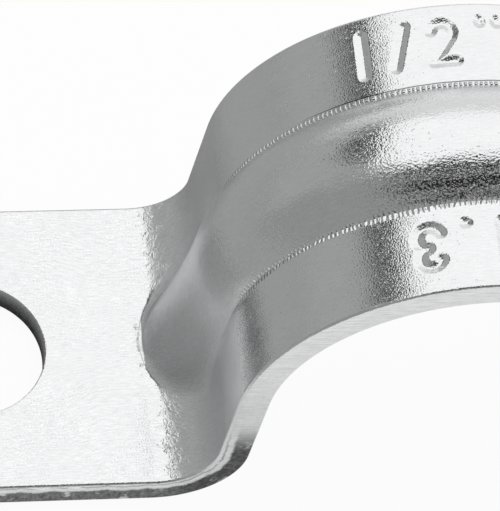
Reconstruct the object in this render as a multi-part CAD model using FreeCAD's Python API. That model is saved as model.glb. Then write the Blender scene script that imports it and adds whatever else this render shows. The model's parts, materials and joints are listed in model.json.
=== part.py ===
"""Two-hole conduit strap, stamped from one strip of sheet steel.

Frame: millimetres, +Z up. The wall face lies at Z = 0, X runs from foot to foot,
Y runs along the conduit. The origin is on the wall, midway between the screw holes.
"""
import FreeCAD, Part
import math
import os

Vector = FreeCAD.Vector

# ---------------------------------------------------------------- driving sizes
conduit_diameter = 21.34      # outside diameter of half-inch heavy-wall conduit
conduit_clearance = 0.13      # radial gap between the conduit and the saddle
sheet_thickness = 1.6
band_width = 17.1             # width of the strip, along the conduit
saddle_centre_height = 9.0    # less than the conduit's radius, so that the screws clamp it
leg_lean = 4.2                # degrees that each leg spreads from upright
foot_bend_radius = 3.15       # bend from leg to foot, measured on its open side
hole_spacing = 50.0
hole_diameter = 8.0
outline_roll_radius = 0.25    # soft edge that the blanking die leaves on the outer side
hole_edge_break = 0.15        # small bevel where the punch enters each hole
bead_section_radius = 4.6     # round section of the stiffening bead, on its outer side
bead_height = 1.57            # bead crest above the band
bead_nose_setback = 0.15      # from the end of the foot bend back to the bead's nose
tool_overrun = 5.0            # how far each cutting shape runs past the metal

# ---------------------------------------------------------------- derived places
middle = Vector(0, 0, 0)
inner_radius = conduit_diameter / 2 + conduit_clearance
outer_radius = inner_radius + sheet_thickness
hole_x = hole_spacing / 2
foot_end_radius = band_width / 2
lean = math.radians(leg_lean)
down_leg = Vector(-math.sin(lean), 0, -math.cos(lean))
out_of_leg = Vector(-math.cos(lean), 0, math.sin(lean))
saddle_centre = Vector(0, 0, saddle_centre_height)

# The bend's centre keeps one bend radius from the foot and from the leg.
beside_leg = saddle_centre + out_of_leg * (outer_radius + foot_bend_radius)
leg_run = (beside_leg.z - sheet_thickness - foot_bend_radius) / math.cos(lean)
bend_centre = beside_leg + down_leg * leg_run

# The bead's crest follows the saddle, then flares out in one arc down to its nose.
crest_radius = outer_radius + bead_height
crest_springing = saddle_centre + out_of_leg * crest_radius
nose = Vector(bend_centre.x + bead_nose_setback, 0, sheet_thickness)
flare_chord = nose - crest_springing
flare_radius = flare_chord.dot(flare_chord) / (2 * flare_chord.dot(out_of_leg))
flare_centre = crest_springing + out_of_leg * flare_radius
out_of_nose = (flare_centre - nose) / flare_radius
down_nose = Vector(-out_of_nose.z, 0, out_of_nose.x)


def line(start, end):
    return Part.LineSegment(start, end).toShape()


def arc_about(centre, start, end):
    """The shorter arc between two points that lie at one distance from the centre."""
    towards_half_way = (start - centre + end - centre).normalize()
    half_way = centre + towards_half_way * (start - centre).Length
    return Part.Arc(start, half_way, end).toShape()


def both_sides(edges):
    """Edges of the -X half and their mirror images, joined into one wire."""
    mirrored = [edge.mirror(middle, Vector(1, 0, 0)) for edge in edges]
    return Part.Wire(Part.__sortEdges__(edges + mirrored))


def across_band(closed_wire):
    """A solid of the band's full width from an outline seen end-on."""
    near_side = Vector(0, -band_width / 2, 0)
    return Part.Face(closed_wire).translated(near_side).extrude(Vector(0, band_width, 0))


# ---------------------------------------------------------------- the bent sheet
def sheet_side(saddle_radius, bend_radius, foot_height):
    """One side of the bent sheet seen end-on, from foot to foot."""
    foot_tip = Vector(-hole_x - foot_end_radius - tool_overrun, 0, foot_height)
    foot_inner = Vector(bend_centre.x, 0, foot_height)
    leg_foot = bend_centre - out_of_leg * bend_radius
    leg_top = saddle_centre + out_of_leg * saddle_radius
    crown = saddle_centre + Vector(0, 0, saddle_radius)
    return both_sides([line(foot_tip, foot_inner),
                       arc_about(bend_centre, foot_inner, leg_foot),
                       line(leg_foot, leg_top),
                       arc_about(saddle_centre, leg_top, crown)])


def ends_of(wire):
    """The two open ends of a foot-to-foot wire, -X first."""
    tips = [vertex.Point for vertex in wire.Vertexes]
    return min(tips, key=lambda tip: tip.x), max(tips, key=lambda tip: tip.x)


outer_side = sheet_side(outer_radius, foot_bend_radius, sheet_thickness)
wall_side = sheet_side(inner_radius, foot_bend_radius + sheet_thickness, 0)


def bent_strip():
    """The plain strip, bent to shape, with its feet still too long."""
    outer_left, outer_right = ends_of(outer_side)
    wall_left, wall_right = ends_of(wall_side)
    edges = outer_side.Edges + wall_side.Edges
    edges += [line(outer_left, wall_left), line(outer_right, wall_right)]
    return across_band(Part.Wire(Part.__sortEdges__(edges)))


def blank_outline():
    """Upright prism of the strap's plan: a strip with a full round at each foot."""
    top = outer_radius + saddle_centre_height + tool_overrun
    bottom = Vector(0, 0, -tool_overrun)
    near = Vector(-hole_x, -foot_end_radius, 0)
    far = Vector(-hole_x, foot_end_radius, 0)
    tip = Vector(-hole_x - foot_end_radius, 0, 0)
    near_half = Vector(0, -foot_end_radius, 0)
    far_half = Vector(0, foot_end_radius, 0)
    outline = both_sides([line(near_half, near), Part.Arc(near, tip, far).toShape(), line(far, far_half)])
    return Part.Face(outline).translated(bottom).extrude(Vector(0, 0, top + tool_overrun))


def soften_outline(strip):
    """Roll over the outer edge all the way round the blank."""
    outer_skin = outer_side.translated(Vector(0, -band_width, 0)).extrude(Vector(0, 2 * band_width, 0))
    rolled = []
    for edge in strip.Edges:
        half_way = edge.valueAt((edge.FirstParameter + edge.LastParameter) / 2)
        on_outer_skin = outer_skin.distToShape(Part.Vertex(half_way))[0] < 0.001
        crosses_band = abs(half_way.y) < 0.001 and abs(half_way.x) < hole_x
        if on_outer_skin and not crosses_band:
            rolled.append(edge)
    return strip.makeFillet(outline_roll_radius, rolled)


# ---------------------------------------------------------------- the bead
def bead_pipe(section_radius):
    """Round bar along the bead, from below one foot, over the saddle, to below the other."""
    foot_end = nose - out_of_nose * bead_section_radius
    tail_end = foot_end + down_nose * tool_overrun
    springing = crest_springing - out_of_leg * bead_section_radius
    crown = saddle_centre + Vector(0, 0, crest_radius - bead_section_radius)
    spine = both_sides([line(tail_end, foot_end),
                        arc_about(flare_centre, foot_end, springing),
                        arc_about(saddle_centre, springing, crown)])
    section = Part.Wire(Part.makeCircle(section_radius, tail_end, down_nose))
    return spine.makePipeShell([section], True, False)


def space_below():
    """All that lies on the wall's side of the sheet: the conduit's space and the wall."""
    wall_left, wall_right = ends_of(wall_side)
    depth = Vector(0, 0, -4 * bead_section_radius - tool_overrun)
    edges = wall_side.Edges
    edges += [line(wall_left, wall_left + depth),
              line(wall_left + depth, wall_right + depth),
              line(wall_right + depth, wall_right)]
    return across_band(Part.Wire(Part.__sortEdges__(edges)))


def emboss(strip):
    """Raise the bead on the outer side and press the matching groove from the wall's side."""
    raised = bead_pipe(bead_section_radius).cut(space_below())
    groove = bead_pipe(bead_section_radius - sheet_thickness)
    return strip.fuse(raised).cut(groove)


# ---------------------------------------------------------------- the screw holes
def punch_holes(strap):
    hole_radius = hole_diameter / 2
    for x in (-hole_x, hole_x):
        below_foot = Vector(x, 0, -tool_overrun)
        punch = Part.makeCylinder(hole_radius, sheet_thickness + 2 * tool_overrun, below_foot)
        strap = strap.cut(punch)
    rims = [edge for edge in strap.Edges
            if isinstance(edge.Curve, Part.Circle)
            and abs(edge.Curve.Radius - hole_radius) < 0.001
            and abs(edge.Curve.Center.z - sheet_thickness) < 0.001]
    return strap.makeChamfer(hole_edge_break, rims)


strip = soften_outline(bent_strip().common(blank_outline()))
strap = punch_holes(emboss(strip).removeSplitter()).Solids[0]

os.makedirs("parts", exist_ok=True)
strap.exportStep("parts/strap.step")
box = strap.optimalBoundingBox()
print("strap valid", strap.isValid(), "volume %.1f mm3" % strap.Volume)
print("box %.2f x %.2f x %.2f mm" % (box.XLength, box.YLength, box.ZLength))
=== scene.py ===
# %% [markdown]
# # A zinc-plated conduit strap
#
# The real strap is made in a press. A flat blank is cut from sheet steel with its two screw holes,
# numbers are stamped in it, a stiffening bead is raised along its middle, and it is bent over into a
# saddle with two feet. This lesson makes it the same way: first the flat blank, then the stamping, then
# one step that raises the bead and bends the sheet. The packed solid gives the sizes, so that the dressed
# strap is as large as the solid one.

# %% Load the solid strap
import bmesh
import bpy
import json
import math
from mathutils import Matrix, Vector


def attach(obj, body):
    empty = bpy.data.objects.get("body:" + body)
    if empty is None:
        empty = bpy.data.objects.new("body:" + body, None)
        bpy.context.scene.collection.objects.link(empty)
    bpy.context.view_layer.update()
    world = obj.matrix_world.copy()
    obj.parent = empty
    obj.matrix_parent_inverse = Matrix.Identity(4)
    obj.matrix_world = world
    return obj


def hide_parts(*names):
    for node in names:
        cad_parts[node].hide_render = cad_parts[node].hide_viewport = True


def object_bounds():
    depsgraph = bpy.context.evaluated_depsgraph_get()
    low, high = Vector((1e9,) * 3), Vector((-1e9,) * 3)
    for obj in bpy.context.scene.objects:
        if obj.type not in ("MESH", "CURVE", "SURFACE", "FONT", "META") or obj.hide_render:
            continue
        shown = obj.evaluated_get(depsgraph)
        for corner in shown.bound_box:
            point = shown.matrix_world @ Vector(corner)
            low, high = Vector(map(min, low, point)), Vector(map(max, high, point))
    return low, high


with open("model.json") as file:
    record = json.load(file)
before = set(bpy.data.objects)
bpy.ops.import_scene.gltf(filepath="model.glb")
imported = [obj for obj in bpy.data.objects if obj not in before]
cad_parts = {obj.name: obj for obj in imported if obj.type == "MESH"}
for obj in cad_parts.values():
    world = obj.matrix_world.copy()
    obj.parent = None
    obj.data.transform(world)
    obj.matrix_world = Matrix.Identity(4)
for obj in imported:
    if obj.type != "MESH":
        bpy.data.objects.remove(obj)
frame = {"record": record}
solid_low, solid_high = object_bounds()
print("solid strap", solid_low, solid_high)

# %% [markdown]
# ## Sizes
#
# Lengths are in metres, as everywhere in Blender. The record of the packed part holds the sizes that
# another part has to fit: the saddle's radius and its height above the wall, the width of the band and
# the screw holes. The sizes of the press tools are named here once. Everything else is worked out from
# these.

# %% Sizes of the strap
mm = 0.001
mounts = {mount["name"]: mount for mount in frame["record"]["mounts"]}
saddle_radius = mounts["saddle"]["dims"]["r_mm"] * mm
saddle_height = mounts["saddle"]["pos_m"][2]
band_width = mounts["saddle"]["dims"]["length_mm"] * mm
hole_x = mounts["screw_holes"]["dims"]["spacing_x_mm"] * mm / 2
hole_radius = mounts["screw_holes"]["dims"]["hole_r_mm"] * mm

sheet = 1.6 * mm                      # thickness of the steel
leg_lean = math.radians(4.2)          # how far each leg spreads from upright
bend_radius = 3.15 * mm               # bend from leg to foot, on its open side
bead_section = 4.6 * mm               # round section of the bead, on its outer side
nose_setback = 0.15 * mm              # from the end of the foot bend back to the bead's nose
crease_fillet = 0.7 * mm              # height over which the bead's sides fade into the legs and bends
tip_fade = 1.3 * mm                   # that fillet fades out this near to the middle of the nose
shoulder_share = 0.72                 # share of the bead's half width left where the nose's front starts
edge_roll = 0.17 * mm                 # soft edge of the blank, on its outer side
hole_break = 0.15 * mm                # small bevel round the punched holes
tiny = 1e-7                           # places nearer to each other than this are the same

half_band = band_width / 2
outer_radius = saddle_radius + sheet
bead_height = solid_high.z - saddle_height - outer_radius
print(f"outer radius {outer_radius / mm:.2f} mm, bead height {bead_height / mm:.2f} mm")

# %% [markdown]
# ## The line that the sheet is bent along
#
# Seen end-on, each half of the strap is an arc of the saddle, a straight leg, the bend to the foot and
# the flat foot. A point of the flat blank is known by its run, the distance along the sheet's outer face
# from the crown. `end_on` turns a run into the point of that face, and the direction that points straight
# out of it. The right half is worked out, and the left half is its mirror image.

# %% The end-on line
class Spot:
    """A point of the outer face seen end-on, with the direction out of the face there."""

    def __init__(self, x, z, turn):
        self.at = Vector((x, z))
        self.out = Vector((math.sin(turn), math.cos(turn)))


leg_turn = math.pi / 2 - leg_lean
springing = Spot(outer_radius * math.sin(leg_turn), saddle_height + outer_radius * math.cos(leg_turn),
                 leg_turn)
down_leg = Vector((math.sin(leg_lean), -math.cos(leg_lean)))
beside_leg = springing.at + springing.out * bend_radius
leg_length = (beside_leg.y - sheet - bend_radius) / math.cos(leg_lean)
bend_centre = beside_leg + down_leg * leg_length

saddle_run = outer_radius * leg_turn
leg_run = saddle_run + leg_length
foot_run = leg_run + bend_radius * leg_turn
hole_run = foot_run + hole_x - bend_centre.x
tip_run = hole_run + half_band


def end_on(run):
    """The outer face at a run of zero or more."""
    if run <= saddle_run:
        turn = run / outer_radius
        return Spot(outer_radius * math.sin(turn), saddle_height + outer_radius * math.cos(turn), turn)
    if run <= leg_run:
        here = springing.at + down_leg * (run - saddle_run)
        return Spot(here.x, here.y, leg_turn)
    if run <= foot_run:
        turn = leg_turn - (run - leg_run) / bend_radius
        out = Vector((math.sin(turn), math.cos(turn)))
        here = bend_centre - out * bend_radius
        return Spot(here.x, here.y, turn)
    return Spot(bend_centre.x + run - foot_run, sheet, 0)


print(f"half blank {tip_run / mm:.1f} mm long, springing at {saddle_run / mm:.1f} mm")

# %% [markdown]
# ## The bead
#
# The bead is a round rib: its section is part of a circle, and its crest follows the saddle and then
# flares out in one large arc to a nose on the foot. `rise` gives how far the sheet is pushed out at a
# place. On the saddle that is the height of a circle's segment. Further down it is the distance, straight
# out of the sheet, to the flare's arc. The groove on the inner face is the same bead, made smaller by the
# sheet's thickness.

# %% The flare's arc
crest_springing = springing.at + springing.out * bead_height
nose = Vector((bend_centre.x - nose_setback, sheet))
flare_chord = nose - crest_springing
flare_radius = flare_chord.length_squared / (2 * flare_chord.dot(springing.out))
flare_centre = crest_springing + springing.out * flare_radius
print(f"flare radius {flare_radius / mm:.1f} mm")


# %% [markdown]
# With the arc known, the rise at any place follows. It could be read off the solid strap by casting rays
# at it, but its facets would then show in the reflections. Worked out from the circle, both faces are
# smooth. The creases get a soft blend on the legs and the bends, as on pressed sheet, and stay crisp on
# the saddle.

# %% How far the bead rises
def section_drop(across, section):
    """How far a round section has fallen below its crest."""
    return section - math.sqrt(max(section ** 2 - across ** 2, 0))


def full_rise(run, across, inner=False):
    """Height of the whole round bead above the plain sheet, below zero where it lies under the sheet."""
    section = bead_section - sheet if inner else bead_section
    drop = section_drop(across, section)
    if run <= saddle_run:
        return bead_height - drop
    spot = end_on(min(run, foot_run))
    start = spot.at - spot.out * sheet if inner else spot.at
    reach = flare_radius + drop + (sheet if inner else 0)
    from_centre = start - flare_centre
    along = from_centre.dot(spot.out)
    under_root = along ** 2 - from_centre.length_squared + reach ** 2
    return -along - math.sqrt(max(under_root, 0)) - max(run - foot_run, 0)


def rise(run, across, inner=False):
    """How far the bead pushes a point of the outer or the inner face out of the plain sheet."""
    height = full_rise(run, across, inner)
    down_flare = min(max((run - saddle_run) / (leg_run - saddle_run), 0), 1)
    beside_tip = 1 - math.exp(-(across / tip_fade) ** 4) * (run > leg_run)
    fillet = crease_fillet * down_flare * beside_tip
    if abs(height) >= fillet:
        return max(height, 0)
    return (height + fillet) ** 2 / (4 * fillet)


for name, at in (("crown", 0), ("springing", saddle_run), ("end of leg", leg_run), ("end of bend", foot_run)):
    print(f"{name}: crest {rise(at, 0) / mm:.2f} mm, groove {rise(at, 0, True) / mm:.2f} mm")

# %% [markdown]
# Where the bead's round side meets the plain sheet there is a crease. The mesh needs to know how wide the
# bead is there. A finished mesh could be searched for it, but the same circle gives it at once, at any
# run.


# %% How wide the bead is at its foot
def crease_width(run, inner=False):
    """Half the bead's width at its foot, where it meets the plain sheet."""
    section = bead_section - sheet if inner else bead_section
    spot = end_on(run)
    start = spot.at - spot.out * sheet if inner else spot.at
    reach = flare_radius + (sheet if inner else 0)
    drop = bead_height if run <= saddle_run else (start - flare_centre).length - reach
    drop = min(max(drop, 0), section)
    return math.sqrt(section ** 2 - (section - drop) ** 2)


print(f"bead {2 * crease_width(0) / mm:.2f} mm wide at the crown,"
      f" groove {2 * crease_width(0, True) / mm:.2f} mm")

# %% [markdown]
# ## The flat blank
#
# The blank is a strip with a full round at each end. It could be drawn as one outline and filled, but the
# bead and the bends need evenly spaced rows to follow their curves. So its middle is a grid, whose
# columns and rows are then moved to the places that the press tools need. Two rows lie where the bead's
# creases will be.

# %% A grid for the middle of the blank
def even(start, stop, steps):
    """Places from start up to, but not including, stop."""
    return [start + (stop - start) * step / steps for step in range(steps)]


def mirrored(places):
    """The places of one half, made into those of both halves."""
    return [-place for place in reversed(places[1:])] + places


def run_where(width, inner=False):
    """The run at which the bead's foot has narrowed to this half width, near its nose."""
    near, far = leg_run + bend_radius * leg_turn / 2, foot_run
    for _ in range(40):
        half_way = (near + far) / 2
        if crease_width(half_way, inner) > width:
            near = half_way
        else:
            far = half_way
    return near


crease_row = crease_width(0)
front_column = run_where(shoulder_share * crease_row)
rim_row = half_band - 1.7 * edge_roll         # leaves room for the rolled edge
grid_end = foot_run + 2.6 * mm                # a little way into the flat foot

# Each stretch is given its number of cells. The bend gets the most for its length.
half_columns = (even(0, saddle_run, 62) + even(saddle_run, leg_run, 14) + even(leg_run, front_column, 26)
                + even(front_column, foot_run, 12) + even(foot_run, grid_end, 9) + [grid_end])
half_rows = even(0, crease_row, 14) + even(crease_row, rim_row, 15) + [rim_row, half_band]
columns = mirrored(half_columns)
rows = mirrored(half_rows)

blank = bmesh.new()
bmesh.ops.create_grid(blank, x_segments=len(columns) - 1, y_segments=len(rows) - 1, size=1)
for vert in blank.verts:
    column = round((vert.co.x + 1) / 2 * (len(columns) - 1))
    row = round((vert.co.y + 1) / 2 * (len(rows) - 1))
    vert.co = (columns[column], rows[row], 0)
print(f"grid of {len(columns) - 1} by {len(rows) - 1} cells")

# %% [markdown]
# Each foot ends in a half circle about its screw hole. One vertex is spun round the hole's centre to draw
# the half circle, and two straight stretches join it to the grid. The loop that this closes is extruded,
# and each new vertex moves straight towards the hole's centre until it lies on the rim. Bridging to a
# ready circle would work too, but its evenly spaced vertices would pair with the loop's at a slant.

# %% The two feet of the blank
round_steps = 56
side_steps = 12


def vert_at(run, across):
    """The vertex nearest to a place on the blank."""
    place = Vector((run, across, 0))
    return min(blank.verts, key=lambda vert: (vert.co - place).length)


def join_straight(first, second, steps):
    """A straight run of edges between two places that hold a vertex each."""
    edge = blank.edges.new((vert_at(*first), vert_at(*second)))
    bmesh.ops.subdivide_edges(blank, edges=[edge], cuts=steps - 1)


def add_foot(side):
    """The round end with its hole, on the left for a side of -1 and on the right for 1."""
    hole_centre = Vector((side * hole_run, 0, 0))
    start = blank.verts.new(hole_centre + Vector((0, -half_band, 0)))
    bmesh.ops.spin(blank, geom=[start], cent=hole_centre, axis=(0, 0, side), angle=math.pi, steps=round_steps,
                   use_merge=False)
    for across in (-half_band, half_band):
        join_straight((side * grid_end, across), (side * hole_run, across), side_steps)
    outer = [edge for edge in blank.edges if edge.is_wire
             or all(abs(vert.co.x - side * grid_end) < tiny for vert in edge.verts)]
    ring = bmesh.ops.extrude_edge_only(blank, edges=outer)
    for vert in ring["geom"]:
        if isinstance(vert, bmesh.types.BMVert):
            vert.co = hole_centre + (vert.co - hole_centre).normalized() * hole_radius


for side in (-1, 1):
    add_foot(side)
print(f"plate of {len(blank.faces)} faces, open edges only round its outline:",
      all(len(edge.link_faces) in (1, 2) for edge in blank.edges))

# %% [markdown]
# The plate becomes a slab when its faces are extruded down by the sheet's thickness. A blanking die rolls
# the sheet's outer edge over a little as it enters, and leaves the inner edge sharp, so only the upper
# rims get a bevel.

# %% Thickness and rolled edges
slab = bmesh.ops.extrude_face_region(blank, geom=blank.faces[:], use_keep_orig=True)
lower = [part for part in slab["geom"] if isinstance(part, bmesh.types.BMVert)]
bmesh.ops.translate(blank, verts=lower, vec=(0, 0, -sheet))
bmesh.ops.recalc_face_normals(blank, faces=blank.faces[:])


def upper_rims(round_hole):
    """Edges where the outer face meets a cut wall, round the holes or round the outline."""
    found = []
    for edge in blank.edges:
        flat = [face for face in edge.link_faces if face.normal.z > 0.9]
        wall = [face for face in edge.link_faces if abs(face.normal.z) < 0.1]
        half_way = (edge.verts[0].co + edge.verts[1].co) / 2
        from_hole = (Vector((abs(half_way.x) - hole_run, half_way.y))).length
        if flat and wall and (from_hole < hole_radius * 1.1) == round_hole:
            found.append(edge)
    return found


bmesh.ops.bevel(blank, geom=upper_rims(False), offset=edge_roll, segments=4, profile=0.5, affect="EDGES",
                clamp_overlap=False, material=-1)
bmesh.ops.bevel(blank, geom=upper_rims(True), offset=hole_break, segments=2, profile=0.5, affect="EDGES",
                clamp_overlap=False, material=-1)
print(f"slab of {len(blank.faces)} faces, closed:", all(edge.is_manifold for edge in blank.edges))
for axis in range(3):
    places = [vert.co[axis] / mm for vert in blank.verts]
    print(f"slab along {'xyz'[axis]}: {min(places):.3f} to {max(places):.3f} mm")

# %% [markdown]
# ## Stamped numbers
#
# The strap carries its size as plain stamped numbers: the trade size on one band, and the conduit's
# diameter in millimetres on the other, turned the other way up. A steel stamp leaves V-shaped grooves.
# Here each figure is a few strokes in a box one unit high. The faces under the strokes are subdivided,
# and every vertex near a stroke is pushed down, deepest on the stroke's centre line. Real grooves catch
# the light as a bump in the shader can't.

# %% Strokes of the figures
def bow(x, y, radius, start, stop, steps=9):
    """Points along an arc, with angles in degrees from the figure's right-hand side."""
    turns = [math.radians(start + (stop - start) * step / steps) for step in range(steps + 1)]
    return [(x + radius * math.cos(turn), y + radius * math.sin(turn)) for turn in turns]


figures = {
    "1": [[(0, 0), (0, 1)]],
    "2": [bow(0, 0.76, 0.24, 170, -35) + [(-0.24, 0), (0.27, 0)]],
    "3": [bow(0, 0.76, 0.24, 160, -80) + bow(0, 0.27, 0.27, 80, -160)],
    "/": [[(-0.14, 0), (0.14, 1)]],
    ".": [[(-0.02, 0), (0.02, 0)]],
    "'": [[(0, 0.95), (0, 1.02)]],
}
print("figures drawn:", " ".join(figures))

# %% [markdown]
# Each figure is set down by the middle of its foot, along the run and across the band. Text objects could
# be cut into the sheet instead, but a few straight strokes give the plain look of a hand-cut steel stamp.

# %% Place the figures
figure_height = 2.35 * mm
stroke_half_width = 0.34 * mm
stamp_depth = 0.17 * mm
stamp_floor = 0.04 * mm               # rounds the bottom of the V


def placed_strokes(figure, run, across, upside_down):
    """A figure's strokes as segments on the blank, from the middle of its foot."""
    scale = -figure_height if upside_down else figure_height
    segments = []
    for stroke in figures[figure]:
        points = [Vector((run + x * scale, across + y * scale)) for x, y in stroke]
        segments += list(zip(points, points[1:]))
    return segments


far_band, near_band = 5.05, -4.65
stamp_places = (
    ("1", -5.85, far_band, False), ("/", -3.87, far_band, False), ("2", -1.62, far_band, False),
    ("'", 0.45, 5.10, False), ("'", 1.35, 5.10, False),
    ("2", 2.05, near_band, True), ("1", 0.05, near_band, True), (".", -1.75, near_band, True),
    ("3", -3.70, near_band, True),
)
stamps = []
for figure, along, over, upside_down in stamp_places:
    stamps += placed_strokes(figure, along * mm, over * mm, upside_down)


def stroke_distance(place):
    """How far a place on the blank is from the nearest stroke."""
    nearest = 1.0
    for start, stop in stamps:
        along = stop - start
        part = (place - start).dot(along) / along.length_squared
        nearest = min(nearest, (place - start - along * min(max(part, 0), 1)).length)
    return nearest


print(f"{len(stamps)} stroke segments")

# %% [markdown]
# Three numbers are kept on each vertex from here on, because the finish needs them later: its depth in
# the sheet, how deeply it is stamped, and its level on the bead. They could be worked out again from the
# bent shape, but they are known exactly while the blank is flat.

# %% Press the figures in
depth_of = blank.verts.layers.float.new("depth")
stamped = blank.verts.layers.float.new("stamped")
bead_level = blank.verts.layers.float.new("bead_level")
for vert in blank.verts:
    vert[depth_of] = -vert.co.z

stroke_reach = stroke_half_width + 0.3 * mm
stroke_low = [min(min(start[i], stop[i]) for start, stop in stamps) - stroke_reach for i in (0, 1)]
stroke_high = [max(max(start[i], stop[i]) for start, stop in stamps) + stroke_reach for i in (0, 1)]


def near_stroke(face):
    """Whether a face of the outer side lies on a stroke or close beside one."""
    middle = face.calc_center_median()
    if face.normal.z <= 0.9 or any(not stroke_low[i] < middle[i] < stroke_high[i] for i in (0, 1)):
        return False
    return stroke_distance(middle.to_2d()) < stroke_reach


under_strokes = {face for face in blank.faces if near_stroke(face)}
refined = [edge for edge in blank.edges if any(face in under_strokes for face in edge.link_faces)]
bmesh.ops.subdivide_edges(blank, edges=refined, cuts=4, use_grid_fill=True)
for vert in blank.verts:
    if vert[depth_of] < tiny and abs(vert.co.x) < saddle_run / 2 and abs(vert.co.y) > crease_row:
        distance = stroke_distance(vert.co.to_2d())
        from_centre = math.sqrt(distance ** 2 + stamp_floor ** 2) - stamp_floor
        vert[stamped] = max(1 - from_centre / stroke_half_width, 0)
        vert.co.z -= stamp_depth * vert[stamped]
print(f"{len(under_strokes)} cells refined, blank now has {len(blank.faces)} faces")

# %% [markdown]
# ## Bead and bends in one press stroke
#
# Each vertex of the blank is carried to its place on the bent strap. First the rows and columns settle on
# the creases of the bead, so that every crease runs along the mesh's own edges and stays crisp: rows
# follow the bead's sides, and one column on each half follows the round front of its nose. Then `end_on`
# says where the vertex goes.

# %% Settle the grid on the creases
noses = {}
for inner in (False, True):
    noses[inner] = {"shoulder": shoulder_share * crease_width(0, inner)}
    noses[inner]["front"] = run_where(noses[inner]["shoulder"], inner)


def settle(run, across, inner):
    """Move a place of the plain grid, so that its rows and columns lie along the bead's creases."""
    shape = noses[inner]
    row = abs(across) / crease_row
    front = run_where(min(row, 1) * shape["shoulder"], inner)
    if run > front_column:
        blend = max(1 - (run - front_column) / (grid_end - front_column), 0)
    else:
        blend = max((run - leg_run) / (front_column - leg_run), 0)
    if row > 1:
        blend *= max((rim_row - abs(across)) / (rim_row - crease_row), 0)
    run += (front - front_column) * blend
    width = crease_width(run, inner) if run < shape["front"] else shape["shoulder"]
    if row <= 1:
        across = math.copysign(row * width, across)
    elif abs(across) < rim_row:
        part = (abs(across) - crease_row) / (rim_row - crease_row)
        across = math.copysign(width + part * (rim_row - width), across)
    return run, across


for inner, shape in noses.items():
    print("inner" if inner else "outer", f"nose's front at run {shape['front'] / mm:.2f} mm")

# %% [markdown]
# Now each vertex is lifted by the bead and set down on the bent line. Before that, the blank's own flat
# shape is stored as a UV map, because a mark made in the press follows the sheet through its bends. An
# unwrap of the bent strap would have seams and stretch, and this map has none.

# %% Press the strap
off_bead = -1 * mm                    # level stored where there is no bead near by
map_unit = 10 * mm                    # length of blank that fills one unit of the map


def press(vert):
    """Carry a vertex of the flat blank to its place on the strap."""
    side = math.copysign(1, vert.co.x)
    run, across, sunk = abs(vert.co.x), vert.co.y, -vert.co.z
    outer = vert[depth_of] < tiny
    inner = vert[depth_of] > sheet - tiny
    raised = 0
    vert[bead_level] = off_bead
    if (outer or inner) and run < grid_end:
        run, across = settle(run, across, inner)
        raised = rise(run, across, inner)
        vert[bead_level] = max(full_rise(run, across, inner), off_bead)
    spot = end_on(run)
    place = spot.at + spot.out * (raised - sunk)
    vert.co = (side * place.x, across, place.y)


blank_map = blank.loops.layers.uv.new("blank")
for face in blank.faces:
    for loop in face.loops:
        loop[blank_map].uv = loop.vert.co.to_2d() / map_unit
for vert in blank.verts:
    press(vert)
bmesh.ops.recalc_face_normals(blank, faces=blank.faces[:])
print("bent strap closed:", all(edge.is_manifold for edge in blank.edges),
      f"volume {blank.calc_volume() / mm ** 3:.1f} cubic mm")

# %% [markdown]
# Faces are shaded smooth, and only true creases and cut corners stay sharp: edges whose two faces meet at
# more than 30 degrees, away from the stamped figures.

# %% The finished mesh
sharp_angle = math.radians(30)


def as_object(name, shape):
    """Make an object out of a bmesh, and free the bmesh."""
    mesh = bpy.data.meshes.new(name)
    shape.to_mesh(mesh)
    shape.free()
    made = bpy.data.objects.new(name, mesh)
    bpy.context.scene.collection.objects.link(made)
    return made


for face in blank.faces:
    face.smooth = True
for edge in blank.edges:
    in_stamp = any(vert[stamped] > 0 for vert in edge.verts)
    edge.smooth = in_stamp or edge.calc_face_angle(0) < sharp_angle
strap = as_object("conduit_strap", blank)
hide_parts("strap")
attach(strap, "root")
triangles = sum(len(face.vertices) - 2 for face in strap.data.polygons)
print(f"strap mesh of {triangles} triangles")

# %% [markdown]
# ## Writing a finish as sums
#
# A finish is a net of small nodes. Here the net is written as sums, which are easier to read and to
# change: `Wire` stands for one output of a node, and plain arithmetic on wires adds the Math nodes. Every
# other node comes from `Wire.node`, which takes the node's type, its settings and the values or wires of
# its sockets.

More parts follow.
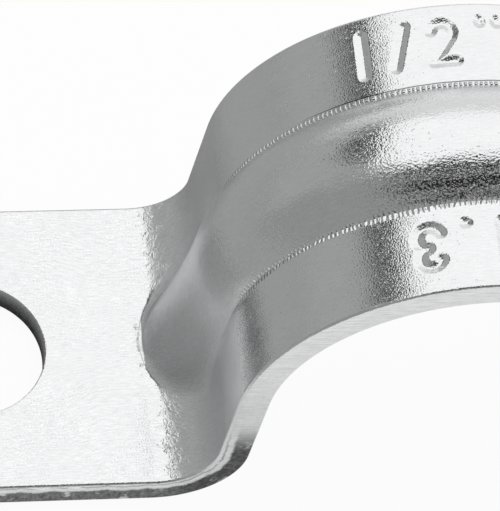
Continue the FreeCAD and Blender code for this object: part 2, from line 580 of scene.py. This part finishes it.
# %% Nodes from plain sums
class Wire:
    """One output of a shader node. Arithmetic on it adds Math nodes to its tree."""

    def __init__(self, tree, socket=None):
        self.tree = tree
        self.socket = socket

    def node(self, kind, settings=None, sockets=None, output=0):
        """Add a node: its settings first, then a value or a wire for each of its sockets."""
        made = self.tree.nodes.new(kind)
        for name, value in (settings or {}).items():
            setattr(made, name, value)
        for name, value in (sockets or {}).items():
            if isinstance(value, Wire):
                self.tree.links.new(value.socket, made.inputs[name])
            else:
                made.inputs[name].default_value = value
        return Wire(self.tree, made.outputs[output] if made.outputs else None)

    def math(self, operation, *others):
        return self.node("ShaderNodeMath", {"operation": operation}, dict(enumerate((self,) + others)))

    def __add__(self, other):
        return self.math("ADD", other)

    __radd__ = __add__

    def __mul__(self, other):
        return self.math("MULTIPLY", other)

    __rmul__ = __mul__

    def __sub__(self, other):
        return self.math("SUBTRACT", other)

    def __rsub__(self, other):
        return self * -1 + other

    def __truediv__(self, other):
        return self.math("DIVIDE", other)

    def __abs__(self):
        return self.math("ABSOLUTE")

    def step(self, start, stop):
        """0 up to start and 1 from stop on, with a smooth rise between. It falls when stop is the smaller."""
        sockets = {"Value": self, "From Min": min(start, stop), "From Max": max(start, stop)}
        if start > stop:
            sockets.update({"To Min": 1, "To Max": 0})
        return self.node("ShaderNodeMapRange", {"interpolation_type": "SMOOTHSTEP"}, sockets)

    def hump(self, middle, half_width):
        """1 at the middle, falling smoothly to 0 at half_width on either side."""
        return abs(self - middle).step(half_width, 0)

    def parts(self):
        """The three numbers of a vector."""
        return [self.node("ShaderNodeSeparateXYZ", sockets={0: self}, output=axis) for axis in range(3)]

    def grey(self):
        """The same number three times over, as a colour."""
        return self.node("ShaderNodeCombineXYZ", sockets={0: self, 1: self, 2: self})

    def stretched(self, *sizes):
        """A place measured in lengths of its own along each axis."""
        return self.node("ShaderNodeVectorMath", {"operation": "DIVIDE"}, {0: self, 1: sizes})

    def noise(self, detail=2, roughness=0.5, distortion=0):
        """Soft noise about zero, mostly between -0.5 and 0.5, at this place."""
        sockets = {"Vector": self, "Scale": 1, "Detail": detail, "Roughness": roughness,
                   "Distortion": distortion}
        return self.node("ShaderNodeTexNoise", sockets=sockets) - 0.5


def empty_net(owner):
    """Clear the nodes of a material or a world, and give a wire to start its new net from."""
    owner.use_nodes = True
    owner.node_tree.nodes.clear()
    return Wire(owner.node_tree)


print("a wire can be used by:", ", ".join(name for name in vars(Wire) if not name.startswith("__")))

# %% [markdown]
# ## Bright zinc
#
# The sheet is steel with a thin bright coat of zinc. It is one metal all over, so its colour hardly
# changes. What the eye reads is the relief: a fine grain that breaks reflections into specks, longer
# streaks from rolling, small folds where the sheet was bent, and a row of fine pinches along each crease
# of the bead. All are heights for one Bump node. The `blank` map unrolls the sheet, so that marks from
# the press follow its bends. Lengths in this finish are in millimetres on the blank.

# %% Places on the strap
zinc = bpy.data.materials.new("zinc_plated_steel")
net = empty_net(zinc)
place = net.node("ShaderNodeTexCoord", output="Object")
run, across, _ = net.node("ShaderNodeUVMap", {"uv_map": "blank"}).parts()
run = run * (map_unit / mm)
across = across * (map_unit / mm)
depth = net.node("ShaderNodeAttribute", {"attribute_name": "depth"}, output="Fac") * (1 / mm)
level = net.node("ShaderNodeAttribute", {"attribute_name": "bead_level"}, output="Fac") * (1 / mm)
on_sheet = net.node("ShaderNodeCombineXYZ", sockets={0: run, 1: across, 2: depth})
down = abs(run)
print("the finish reads:", ", ".join(made.bl_idname for made in zinc.node_tree.nodes if not made.inputs))

# %% [markdown]
# A mask is a number from 0 to 1 that says how much a place belongs to a part of the strap. Masks could be
# painted by hand, but the press knows each place already: its run from the crown, its side of the band,
# its depth in the sheet and its level on the bead.

# %% Masks for the parts of the strap
sheet_depth = sheet / mm
outer_face = depth.step(0.2, 0.05)
cut_wall = depth.step(0.05, 0.2) * depth.step(sheet_depth, sheet_depth - 0.05)
on_bead = level.step(-0.1, 0.3)
on_saddle = down.step(19.0, 15.0)
below_leg = down.step(20.5, 24.0)
on_foot = down.step(23.0, 27.0)
near_side = across.step(0.0, -0.1)
far_side = across.step(0.0, 0.1)
print(f"masks end on runs of 19 to 27 mm; the leg runs from {saddle_run / mm:.1f} to {leg_run / mm:.1f} mm")

# %% [markdown]
# ## Relief of the rolled sheet
#
# Cold-rolled sheet is never quite flat. It has a grain of about a tenth of a millimetre, long faint
# streaks along the rolling, slow waves, and small pits. Each could be a texture of its own, but one
# relief in real heights keeps their sizes in proportion. The foot was flattened in the press, so it has
# less.

# %% Relief of the sheet
um = 0.001                            # a micrometre, in millimetres
grain_height = 15.0 * um
streak_height = 2.0 * um
wave_height = 45.0 * um
pit_depth = 8.0 * um

fine_grain = on_sheet.stretched(0.095, 0.095, 0.095).noise(1, 0.5)
coarse_grain = on_sheet.stretched(0.14, 0.12, 0.12).noise(1, 0.5)
grain = (fine_grain * (1 - on_bead * 0.3) + coarse_grain * on_bead * 1.1) * (1 - on_foot * 0.3)
streaks = on_sheet.stretched(0.6, 0.075, 0.3).noise(3, 0.65)
rolled = on_sheet.stretched(3.0, 1.1, 1.2).noise(2, 0.5)
pits = on_sheet.stretched(0.17, 0.17, 0.17).noise(0).step(0.22, 0.34)
relief = grain * grain_height + streaks * streak_height
relief = relief + rolled * (1 - on_foot * 0.6) * wave_height - pits * (1 - on_foot) * pit_depth
print(f"grain {grain_height / um:.0f}, streaks {streak_height / um:.0f},"
      f" waves {wave_height / um:.0f} micrometres")

# %% [markdown]
# ## Folds in the bend
#
# Where the foot is bent up, the sheet is squeezed on its open side and wrinkles into short sharp folds.
# Modelled folds would need a far finer mesh there. The absolute value of a noise has sharp valleys where
# the noise crosses zero, which is what such folds look like, and a second noise leaves some places
# smooth.

# %% Folds where the foot is bent up
fold_middle = 27.3
fold_reach = 1.2
fold_depth = 250.0 * um               # weight of a noise that stays well below 1, so real folds are shallower
ripple_height = 8.0 * um

fold_wander = on_sheet.stretched(1.2, 0.8, 1.2).noise(3, 0.6)
fold_patches = on_sheet.stretched(0.7, 0.7, 0.7).noise(3, 0.7).step(-0.1, 0.2)
in_bend = (down + fold_wander * 4.0).hump(fold_middle, fold_reach)
in_bend = in_bend * fold_patches * outer_face * level.step(0.3, 0.0)
folds = abs(on_sheet.stretched(0.4, 0.4, 0.4).noise(3, 0.55, 0.8))
ripples = on_sheet.stretched(0.3, 1.6, 0.4).noise(2, 0.5)
relief = relief + in_bend * (folds * fold_depth + ripples * ripple_height)
print(f"folds about run {fold_middle} mm, in a bend from {leg_run / mm:.1f} to {foot_run / mm:.1f} mm")

# %% [markdown]
# ## The dark line round the nose
#
# The bead ends in a round nose on the foot, where the press drew the sheet hardest. A thin jagged line
# runs round the nose, in the crease where it meets the foot: a bump gives it a little relief, and its
# darkness is painted shade in that crease. The bead's level, which the mesh stores, is the same all
# along that line, so one hump on the level draws it. A curve laid on the strap would have to be fitted
# by hand.

# %% The dark line round the nose
ring_level = -0.42
ring_half_width = 0.16
ring_height = 40.0 * um

nose_line_noise = on_sheet.stretched(0.3, 0.3, 0.3).noise(2, 0.6)
# painted shade: this line is darkened in the colour further on, as shade in the crease round the nose; here
# it also gets a little relief
nose_line_bump_and_shade = (level + nose_line_noise * 0.3).hump(ring_level, ring_half_width) * down.step(27.6, 28.2) * outer_face
relief = relief + nose_line_bump_and_shade * nose_line_noise * ring_height
print(f"the line follows bead level {ring_level} mm, {ring_half_width} mm to either side")

# %% [markdown]
# ## Pinches along the creases
#
# On the saddle, the die pinched the sheet along both creases of the bead. The near crease has a fine row
# of teeth, and the far one a row of small beads, with a dark line painted beside it as shade in the
# crease. Both rows repeat about four times in a millimetre. Hundreds of modelled teeth would cost more
# than the strap itself, and a sine wave along the run, shaken a little by noise so that it isn't regular,
# gives the same rows.

# %% Pinches along the creases of the bead
tooth_pitch = 0.27
tooth_height = 38.0 * um
bead_row_height = 95.0 * um

wander = on_sheet.stretched(0.7, 0.7, 0.7).noise(1)
beat = (run * (2 * math.pi / tooth_pitch) + wander * 9).math("SINE")
patchy = on_sheet.stretched(0.5, 1.0, 1.0).noise(2, 0.6).step(-0.28, 0.0)
near_teeth = level.hump(-0.12, 0.32) * near_side * beat
far_beads = level.hump(-0.12, 0.2) * far_side * beat.step(-0.8, 0.6)
kept_beads = patchy.math("MAXIMUM", down.step(12, 9))
pinches = near_teeth * patchy * tooth_height + far_beads * kept_beads * bead_row_height * (1 + wander * 1.6)
relief = relief + on_saddle * pinches
# painted shade: a dark line along the far crease, where the concave corner lies in shade
crease_shade_line = (level + wander * 0.08).hump(-0.37, 0.08) * far_side * down.step(11, 7) * outer_face
print(f"one pinch each {tooth_pitch} mm, {2 * saddle_run / mm / tooth_pitch:.0f} along the saddle")

# %% [markdown]
# ## The sheared walls
#
# A punch cuts the first part of the sheet's thickness cleanly and then breaks the rest away. So a cut
# wall is brushed and bright near the outer face, and rough and dark below a ragged line. The line could
# be straight, but a real one wanders, so noise is added to the depth before the mask is taken. In the
# holes the break is softer, and the whole wall darkens steadily towards its bottom as painted shade
# inside the hole. A dark line is also painted along the top of the walls, for the dark reflection of the
# rolled edge.

# %% The sheared walls
hole_zone = 4.3 * mm                  # walls nearer than this to a hole's centre are the hole's own
brush_height = 9.0 * um
tear_height = 8.0 * um
break_height = 16.0 * um

brushed = place.stretched(1.6 * mm, 0.07 * mm, 0.07 * mm).noise(2, 0.6)
torn = on_sheet.stretched(0.16, 0.4, 0.3).noise(3, 0.6)
relief = relief + cut_wall * (brushed * brush_height + torn * tear_height)
ragged = depth + on_sheet.stretched(0.9, 0.9, 9).noise(3, 0.6) * 0.5
place_x, place_y, _ = place.parts()
beside_hole = abs(place_x) - hole_x
in_hole = (beside_hole * beside_hole + place_y * place_y).math("SQRT").step(hole_zone + 0.2 * mm, hole_zone)
spared = on_sheet.stretched(1.0, 1.0, 0.8).noise(3, 0.6).step(0.06, 0.16)
torn_edge = ragged.step(0.5, 0.72) * below_leg * (1 - spared * 0.7)
# outside the holes this is the broken steel below the ragged line; inside them it is painted shade, darker
# towards the bottom of the hole
fracture_and_shade = (torn_edge * (1 - in_hole) + ragged.step(-0.2, 1.5) * in_hole) * cut_wall
# painted shade: a dark ragged line on the rolled edge and the top of the cut walls, standing in for the dark
# reflection of the rolled edge
rim_shade_line = ragged.hump(0.22, 0.1) * (1 - spared) * below_leg * (1 - in_hole)
rim_shade_line = rim_shade_line * outer_face.math("MAXIMUM", cut_wall)
relief = relief + fracture_and_shade * torn * break_height
print(f"holes of {hole_radius / mm:.2f} mm radius at x = {hole_x / mm:.1f} mm,"
      f" their own walls within {hole_zone / mm:.1f} mm")

# %% [markdown]
# ## Colour of the zinc
#
# Zinc is a pale grey with a trace of blue. The same reliefs darken it a little, because dirt stays in the
# low places, and the broken steel of the walls is much darker. Some marks are painted shade: the hole
# walls darken towards their bottom, dark lines lie in the crease round the nose, along the far crease and
# on the rolled edge, and the bead's near side down the leg is darkened. Each shade multiplies the last.
# The sums are numbers, and only the last node, a Mix, turns them into the metal's colour.

# %% Colour of the zinc
mix_factor, mix_first, mix_second, mix_result = 0, 6, 7, 2     # a Mix node's sockets when it mixes colours
zinc_colour = (0.80, 0.805, 0.81, 1)

worn = on_sheet.stretched(4.0, 4.0, 4.0).noise(2, 0.6).step(-0.2, 0.2)
shade = 1 + streaks * (0.28 + on_foot * 0.3) + grain * (0.10 + on_foot * worn * 0.7) + rolled * 0.08
shade = shade * (1 + cut_wall * brushed * 0.6)
# painted shade: a dark line in the crease round the nose, and a dark line on the rolled edge standing in for
# its dark reflection
shade = shade * (1 - nose_line_bump_and_shade * (nose_line_noise * 1.2 + 0.75)) * (1 - rim_shade_line * 0.5)
# painted shade: the hole walls darken towards their bottom, and a dark line lies along the far crease; the
# torn steel below the ragged line is darker metal of its own
shade = shade * (1 - fracture_and_shade * (0.74 + torn * 0.6)) * (1 - crease_shade_line * 0.85)
# painted shade: the bead's near side down the leg is darkened, for the lesser light that this side reflects
near_side_shade = level.step(0.0, 0.8) * down.step(18.0, 22.0) * across.step(0.5, -1.5)
shade = shade * (1 - near_side_shade * 0.16)
tone = net.node("ShaderNodeMix", {"data_type": "RGBA", "blend_type": "MULTIPLY"},
                {mix_factor: 1, mix_first: zinc_colour, mix_second: shade.grey()}, output=mix_result)
print("zinc colour", zinc_colour[:3])

# %% [markdown]
# ## Gloss of the zinc
#
# Bright zinc is nearly a mirror. Where the sheet was drawn over the die, down the leg and over the nose,
# it is duller, and its reflections blur. One roughness all over would be simpler, but then the nose would
# mirror the strap's own foot as a hard bright patch, which the real one doesn't show.

# %% The finished zinc
drawn = down.step(14.5, 20.0) * down.step(28.2, 27.0)
drawn = drawn.math("MAXIMUM", level.step(-0.6, 0.1) * down.step(12.5, 18.0))
rough = 0.10 + fracture_and_shade * 0.3 + cut_wall * 0.12 + drawn * 0.3
normal = net.node("ShaderNodeBump", sockets={"Strength": 1, "Distance": mm, "Height": relief},
                  output="Normal")
metal = net.node("ShaderNodeBsdfPrincipled", sockets={
    "Base Color": tone, "Metallic": 1, "Roughness": rough, "Normal": normal})
net.node("ShaderNodeOutputMaterial", sockets={"Surface": metal})
strap.data.materials.append(zinc)
print("zinc has", len(zinc.node_tree.nodes), "nodes")

# %% [markdown]
# ## The studio
#
# A bright metal mostly shows what stands around it, so the surroundings are made with as much care as the
# metal. A studio for small parts is a white paper, a tent of cloth with a soft light above, and black or
# grey cards where the metal needs a darker reflection. None of this belongs to the strap.

# %% Pieces of the stage
def stage_piece(name, shape):
    """Make a floor or backdrop out of a bmesh: an object that isn't part of the strap."""
    piece = as_object(name, shape)
    return piece


print("the stage holds a floor and a tent")

# %% [markdown]
# ## The floor
#
# The strap stands on white paper. The camera sees the paper as nearly plain white, with the strap's
# shadow on it. In the metal it is seen from very near, and there a white paper alone would wash out the
# foot and the legs, so reflections find a grey card round the strap, with white left on the right and in
# one strip in front. Several small cards could be modelled, but one paper with masks can't cast shadows
# or stick out.

# %% Masks on the floor
floor_shape = bmesh.new()
bmesh.ops.create_grid(floor_shape, x_segments=1, y_segments=1, size=3)
floor = stage_piece("floor", floor_shape)
paper = bpy.data.materials.new("white_paper")
net = empty_net(paper)
floor_x, floor_y, _ = net.node("ShaderNodeTexCoord", output="Object").parts()
camera_ray = net.node("ShaderNodeLightPath", output="Is Camera Ray")
glossy_ray = net.node("ShaderNodeLightPath", output="Is Glossy Ray")
clear_ray = net.node("ShaderNodeLightPath", output="Is Transmission Ray")

bent_x = floor_x - floor_y.step(-5 * mm, 5 * mm) * 10 * mm
white_right = bent_x.step(-20 * mm, -12 * mm)
white_strip = floor_y.step(-18 * mm, -14 * mm) * floor_y.step(-6 * mm, -8 * mm)
white_strip = white_strip * floor_x.step(-30 * mm, -24 * mm)
card = glossy_ray * (1 - white_right.math("MAXIMUM", white_strip))
# painted shadow: the card is a darker grey close to the strap, for the strap's shadow on the paper
away = (floor_x * floor_x + floor_y * floor_y).math("SQRT").step(16 * mm, 34 * mm)
print("the card turns from its near to its far grey between 16 and 34 mm from the middle")

# %% [markdown]
# Diffuse paint answers to the lamp and holds the shadow, and a plain glow doesn't. The paper is mixed
# from both: the glow brings it close to white for the camera, and the rest of the mix keeps the shadow.

# %% Paint of the floor
# the card's near grey, darker than its far grey, is a painted shadow of the strap
greys = {"white": 0.88, "near": 0.30, "far": 0.43}
camera_glow = 0.94                    # share of plain white that the camera sees
mirror_glow = 0.55                    # the same in reflections, away from the card

paints = {}
for name, grey in greys.items():
    paints[name] = net.node("ShaderNodeBsdfDiffuse", sockets={"Color": (grey, grey, grey, 1)})
card_paint = net.node("ShaderNodeMixShader", sockets={0: away, 1: paints["near"], 2: paints["far"]})
lit = net.node("ShaderNodeMixShader", sockets={0: card, 1: paints["white"], 2: card_paint})
plain_white = net.node("ShaderNodeEmission", sockets={"Color": (1, 1, 1, 1), "Strength": 1})
shown = (camera_ray + clear_ray) * camera_glow + glossy_ray * (1 - card) * mirror_glow
mixed = net.node("ShaderNodeMixShader", sockets={0: shown, 1: lit, 2: plain_white})
net.node("ShaderNodeOutputMaterial", sockets={"Surface": mixed})
floor.data.materials.append(paper)
print("paper has", len(paper.node_tree.nodes), "nodes")

# %% [markdown]
# ## The world
#
# The world is the light that comes from everywhere at once. The camera sees it as plain white, and as a
# lamp it is held lower, so that pale surfaces don't clip. Reflections of it are plain white too, though
# the tent stands in front of it in nearly all of them. A single strength would have to choose between a
# white background and a well lit strap.

# %% The world
room_strength = 0.4
world = bpy.data.worlds.new("studio")
bpy.context.scene.world = world
net = empty_net(world)
seen = net.node("ShaderNodeLightPath", output="Is Camera Ray")
for kind in ("Is Glossy Ray", "Is Transmission Ray"):
    seen = seen + net.node("ShaderNodeLightPath", output=kind)
room = net.node("ShaderNodeBackground", sockets={"Color": (1, 1, 1, 1), "Strength": room_strength})
backdrop = net.node("ShaderNodeBackground", sockets={"Color": (1, 1, 1, 1), "Strength": 1})
mixed = net.node("ShaderNodeMixShader", sockets={0: seen, 1: room, 2: backdrop})
net.node("ShaderNodeOutputWorld", sockets={"Surface": mixed})
print(f"room light {room_strength}, backdrop 1")

# %% [markdown]
# ## The tent
#
# The tent is a large sphere that only reflections see. It gives the metal its light and dark bands: a
# bright soft box above, a paler wall behind, a dark card in front with two bright slats, and a dark gap
# on the left. Separate cards would each need placing, while on a sphere every direction can be named:
# `beside` and `beyond` are how far right and how far back a direction leans for each step up.

# %% The tent's cloth
tent_shape = bmesh.new()
bmesh.ops.create_icosphere(tent_shape, subdivisions=5, radius=2.5)
tent = stage_piece("tent", tent_shape)
tent.visible_camera = False
tent.visible_diffuse = False
tent.visible_transmission = False
tent.visible_shadow = False
cloth = bpy.data.materials.new("tent_cloth")
net = empty_net(cloth)
tent_x, tent_y, tent_z = net.node("ShaderNodeTexCoord", output="Object").parts()
horizon = 0.02                        # keeps the slopes finite near the floor
height = tent_z.math("MAXIMUM", horizon)
beside = tent_x / height
beyond = tent_y / height
print("tent of", len(tent.data.polygons), "faces, seen only in reflections")

# %% [markdown]
# Each card is a product of steps: one for each of its soft edges.

# %% Cards on the tent
behind = (tent_x / tent_y.math("MAXIMUM", horizon)).step(-0.8, -0.1) * tent_y.step(0, 0.1)
low_behind = behind * beyond.step(1.4, 1.9)
softbox = beside.step(-0.74, -0.67) * beyond.step(-0.24, -0.18) * (1 - low_behind)
dark_front = beside.step(-0.95, -0.4) * beside.step(1.0, 0.6)
dark_front = dark_front * beyond.step(-0.2, -0.26) * beyond.step(-2.2, -1.6)
gap_slant = (0.69 - beyond).math("MAXIMUM", 0) * 0.7
gap = (beside - gap_slant).step(-1.5, -0.95) * beyond.step(-0.1, 0.2) * (1 - softbox) * (1 - low_behind)
slats = beyond.hump(-0.55, 0.08) + beyond.hump(-1.2, 0.12)
low_front = beyond.step(0.0, -0.3) * beside.step(-0.4, -0.9) * tent_z.step(-0.05, 0.1)
print("cards:", "behind, low behind, soft box, dark front, gap, slats, low front")

# %% [markdown]
# The cards are laid over the cloth's own glow one after another, the soft box first and the dark front
# last. Only the colour of the glow changes over the cloth, and its strength stays at 1, so that the
# pattern can be exported.

# %% Glow of the tent
cloth_glow = 0.395
behind_glow = 0.425                   # added to the cloth's own
softbox_glow = 1.115
slat_glow = 0.9

glow = cloth_glow + behind * behind_glow
glow = glow * (1 - softbox) + softbox * softbox_glow
glow = glow * (1 - low_front * 0.2) * (1 - gap * 0.86) * (1 - dark_front * 0.96)
glow = glow + dark_front * slats * slat_glow
light = net.node("ShaderNodeEmission", sockets={"Color": glow.grey(), "Strength": 1})
net.node("ShaderNodeOutputMaterial", sockets={"Surface": light})
tent.data.materials.append(cloth)
print(f"glow from {cloth_glow} on the cloth to {softbox_glow} in the soft box")

# %% [markdown]
# ## The lamp
#
# One soft lamp above casts the strap's shadow on the paper. Reflections don't see it, because the tent's
# soft box already stands for it there, and two of them would show in the metal. A point lamp would cast a
# hard shadow, so it is a panel, a little over a metre away.

# %% The lamp
lamp_place = (0.3, 0.5, 1)
panel = bpy.data.lights.new("softbox", "AREA")
panel.shape = "RECTANGLE"
panel.size = 1.6
panel.size_y = 1.4
panel.energy = 11
lamp = bpy.data.objects.new("softbox", panel)
lamp.location = lamp_place
lamp.rotation_euler = Vector((0, 0, 1)).rotation_difference(lamp.location).to_euler()
lamp.visible_glossy = False
bpy.context.scene.collection.objects.link(lamp)
print(f"lamp of {panel.energy:.0f} W, {lamp.location.length:.2f} m from the strap")

# %% [markdown]
# ## Camera
#
# A long lens looks down on one foot and half of the saddle, with the camera rolled a little about its own
# axis. Its three directions are worked out from two angles and the roll. A Track To constraint could aim
# it, but it would leave the roll out.

# %% The camera
target = Vector((-11.0, 0, 10.6)) * mm
azimuth, elevation, roll = (math.radians(angle) for angle in (-17.56, 58.21, 13.64))
distance = 295 * mm

forward = Vector((-math.sin(azimuth) * math.cos(elevation), math.cos(azimuth) * math.cos(elevation),
                  -math.sin(elevation)))
sideways = Vector((math.cos(azimuth), math.sin(azimuth), 0))
upright = sideways.cross(forward)
to_right = sideways * math.cos(roll) + upright * math.sin(roll)
to_top = upright * math.cos(roll) - sideways * math.sin(roll)
lens = bpy.data.cameras.new("camera")
lens.sensor_width = 36
lens.lens = 396
lens.clip_start = 0.01
camera = bpy.data.objects.new("camera", lens)
camera.matrix_world = Matrix((to_right, to_top, -forward)).transposed().to_4x4()
camera.location = target - forward * distance
bpy.context.scene.collection.objects.link(camera)
bpy.context.scene.camera = camera
print(f"camera {distance / mm:.0f} mm away, {lens.lens:.0f} mm lens")

# %% [markdown]
# ## Finish
#
# The view transform is set to Standard.
# Dressing a part never changes its size.

# %% Finish
bpy.context.scene.view_settings.view_transform = "Standard"
